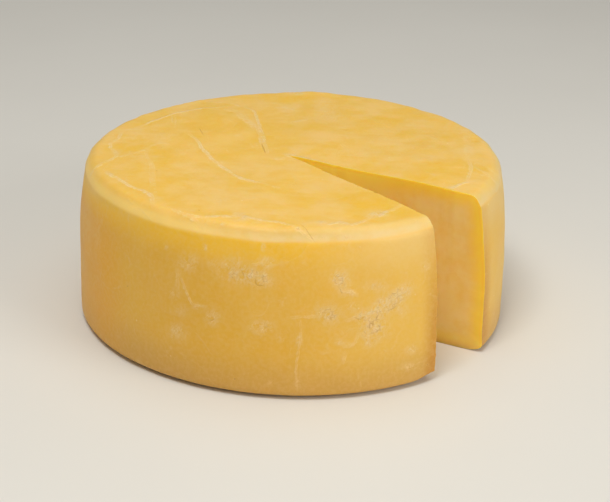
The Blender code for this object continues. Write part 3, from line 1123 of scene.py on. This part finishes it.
def creases(rind, fine, ragged):
    """A soft pale band, its broken, wandering threads, and dark hairlines."""
    wobble = (rind.noise(10.0 * MM, 3.0, 0.6) - 0.5) * 3.6 + (fine - 0.5) * 2.0
    fading = rind.noise(16.0 * MM, 2.0, 0.5).between(0.36, 0.56, 0.45, 1.0)
    bands, threads = [], []
    for layer in range(HAIRLINES):
        offset, weight, _ = rind.parts(rind.attribute(f"crease_{layer}", "Vector"))
        shifted = abs(offset + wobble)
        band = shifted.between(3.0, 0.0)
        bands.append(band * band * weight)
        threads.append(abs(shifted - 0.85).between(0.80, 0.10) * weight * ragged)
    halo = reduce(Value.most, bands) * fading * (ragged * 0.45 + 0.55)
    lines = reduce(Value.most, threads) * fading
    offset, weight, _ = rind.parts(rind.attribute(f"crease_{HAIRLINES}", "Vector"))
    slit = abs(offset + (fine - 0.5) * 2.0).between(1.0, 0.2) * weight
    return halo, lines, slit


def rind_finish():
    """Satin rind: mottled yellow, paler creases and dry crackled patches, specks and pits."""
    rind = Finish("rind")
    wander = rind.wandering(12.0 * MM, 5.0 * MM)
    broad = rind.noise(55.0 * MM, 3.0, 0.55, bend=0.6)
    middling = rind.noise(14.0 * MM, 4.0, 0.6)
    fine = rind.noise(2.6 * MM, 3.0, 0.6)
    smear = rind.noise(6.0 * MM, 4.0, 0.65,
                       rind.stretched((3.5, 1.0, 1.5), (0.0, 0.0, math.radians(-45.0))))
    grain = rind.noise(0.9 * MM, 2.0, 0.6)
    ragged = rind.noise(3.0 * MM, 3.0, 0.7).between(0.34, 0.60)
    tone = (broad * 0.44 + middling * 0.39 + smear * 0.17).between(0.36, 0.64)
    colour = bare_rind(rind, tone, middling)

    paleness, flakes, crack = dry_patches(rind, wander)
    halo, lines, slit = creases(rind, fine, ragged)
    web = rind.cells(30.0 * MM, "DISTANCE_TO_EDGE", rind.wandering(34.0 * MM, 40.0 * MM))
    faint = web.between(0.050, 0.004) * rind.noise(22.0 * MM, 3.0, 0.6).between(0.46, 0.66)
    specks = rind.cells(15.0 * MM).between(0.055, 0.025)
    pits = rind.cells(23.0 * MM, place=wander).between(0.024, 0.012)
    for amount, shade in ((paleness * 0.95, DRY_PALE), (flakes * 0.45, CREASE_PALE),
                          (crack * 0.60, DRY_CRACK), (halo * 0.90, DRY_PALE),
                          (lines * 0.85, CREASE_PALE), (slit * 0.65, HAIRLINE),
                          (faint * ragged * 0.26, DRY_PALE),
                          (specks * 0.65 * broad.between(0.44, 0.56), CREASE_PALE),
                          (pits * 0.75, PIT_BROWN), (fine.between(0.35, 0.70) * 0.16, DRY_PALE)):
        colour = rind.blend(amount, colour, shade)

    rough = 0.45 + (middling - 0.5) * 0.16 + (fine - 0.5) * 0.10 + paleness * 0.12
    relief = (fine * 0.35 + grain * 0.12 + middling * 0.8 + flakes * 0.8 - crack
              + paleness * 0.3 + lines * 0.9 + halo * 0.5 + faint * 0.3 - slit * 1.2
              - pits * 1.2 + specks * 0.4)
    rind.surface(colour, rough, relief, RIND_GRAIN)
    rind.soft_body(weight=0.35, reach=5.0 * MM, colours=(1.0, 0.62, 0.22))
    return rind.material


def paste_finish():
    """Cut paste: smooth and pale, deeper yellow just under the rind, partly painted light, a
    painted glow near the cut's tip, and a few tiny pits.
    """
    paste = Finish("paste")
    across, along, height = paste.parts(paste.place)
    depth = paste.attribute("depth")
    broad = paste.noise(40.0 * MM, 3.0, 0.5)
    cloud = paste.noise(7.0 * MM, 4.0, 0.6)
    fine = paste.noise(1.2 * MM, 3.0, 0.6)
    drag = paste.noise(2.4 * MM, 3.0, 0.6, paste.stretched((1.0, 8.0, 1.0)))
    colour = paste.blend((broad * 0.6 + cloud * 0.4).between(0.38, 0.62), PASTE_WARM, PASTE_PALE)
    # The yellow under the rind: partly the paste's own colour, partly painted light, weaker
    # towards the foot.
    edge = (depth + (cloud - 0.5) * (3.0 * MM)).between(*PASTE_EDGE_DEPTH)
    edge = edge * height.between(*PASTE_EDGE_UP, 0.3, 0.85)
    # Painted glow of light through the cheese near the cut's tip, high on the cut faces.
    tip = ring(across, along, CUT_TIP, *CUT_TIP_RING) * height.between(*PASTE_TIP_UP)
    pits = paste.cells(17.0 * MM, place=paste.wandering(10.0 * MM, 4.0 * MM))
    pit = pits.between(0.040, 0.020) * broad.between(0.40, 0.55)
    for amount, shade in ((edge, PASTE_EDGE_AND_LIGHT), (tip * 0.9, PASTE_TIP_GLOW),
                          (depth.between(*PASTE_SKIN_DEPTH) * 0.85, PASTE_SKIN),
                          (height.between(*PASTE_FOOT_DOWN) * 0.8, PASTE_FOOT),
                          (pit * 0.7, PIT_BROWN)):
        colour = paste.blend(amount, colour, shade)
    paste.surface(colour, 0.46 + (drag - 0.5) * 0.20,
                  drag * 0.5 + fine * 0.25 + cloud * 0.5 - pit * 1.5, PASTE_GRAIN)
    paste.soft_body(weight=0.90, reach=11.0 * MM, colours=(1.0, 0.70, 0.25))
    return paste.material


def floor_finish():
    """Plain pale matt floor with a trace of unevenness."""
    plain = Finish("floor")
    tone = plain.noise(0.30, 3.0, 0.5)
    plain.feed(plain.shader.inputs["Base Color"], plain.blend(tone, FLOOR_GREY, FLOOR_PALE))
    plain.feed(plain.shader.inputs["Roughness"], FLOOR_ROUGHNESS)
    return plain.material


# ---------------------------------------------------------------- stage, light, camera

FLOOR_SIZE = 6.0
LIGHT_COLOUR = (1.0, 0.98, 0.93)
SOFT_LIGHTS = (
    # name, place, target, size, power; the last target is off the plumb line, so that its
    # turn is defined
    ("front", (0.30, -1.58, 0.72), (0.0, 0.0, 0.06), 0.9, 10.3),
    ("overhead", (-0.62, -0.30, 1.47), (0.0, 0.0, 0.10), 0.5, 9.8),
    ("ceiling", (0.0, 0.0, 2.40), (0.0, 0.001, 0.10), 2.4, 16.6),
)
WORLD_COLOUR = (1.0, 0.97, 0.90, 1.0)
WORLD_STRENGTH = 0.285


def build_floor():
    """Level square under the wheel."""
    half = FLOOR_SIZE / 2.0
    mesh = bpy.data.meshes.new("floor")
    mesh.from_pydata([(-half, -half, 0.0), (half, -half, 0.0), (half, half, 0.0),
                      (-half, half, 0.0)], [], [(0, 1, 2, 3)])
    mesh.materials.append(floor_finish())
    return placed("floor", mesh)


def build_lights():
    """Square soft boxes aimed at the wheel, and an even pale surrounding."""
    for name, place, target, size, power in SOFT_LIGHTS:
        lamp = bpy.data.lights.new(name, "AREA")
        lamp.shape = "SQUARE"
        lamp.size, lamp.energy, lamp.color = size, power, LIGHT_COLOUR
        turn = (Vector(place) - Vector(target)).to_track_quat("Z", "Y").to_matrix().to_4x4()
        placed(name, lamp).matrix_world = Matrix.Translation(place) @ turn
    world = bpy.data.worlds.new("surrounding")
    world.use_nodes = True
    backing = world.node_tree.nodes["Background"]
    backing.inputs["Color"].default_value = WORLD_COLOUR
    backing.inputs["Strength"].default_value = WORLD_STRENGTH
    bpy.context.scene.world = world


def build_camera():
    """The camera at its place, turned to its right, up and back directions."""
    lens = bpy.data.cameras.new("camera")
    lens.lens, lens.sensor_width, lens.sensor_fit = LENS, SENSOR, "HORIZONTAL"
    camera = placed("camera", lens)
    turn = Matrix((VIEW_RIGHT, VIEW_UP, VIEW_BACK)).transposed().to_4x4()
    camera.matrix_world = Matrix.Translation(VIEW_PLACE) @ turn
    bpy.context.scene.camera = camera


wheel = build_wheel()
wheel.data.materials.append(rind_finish())
wheel.data.materials.append(paste_finish())
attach(wheel, "root")
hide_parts(NODE)
build_floor()
build_lights()
build_camera()
bpy.context.scene.view_settings.view_transform = "Standard"
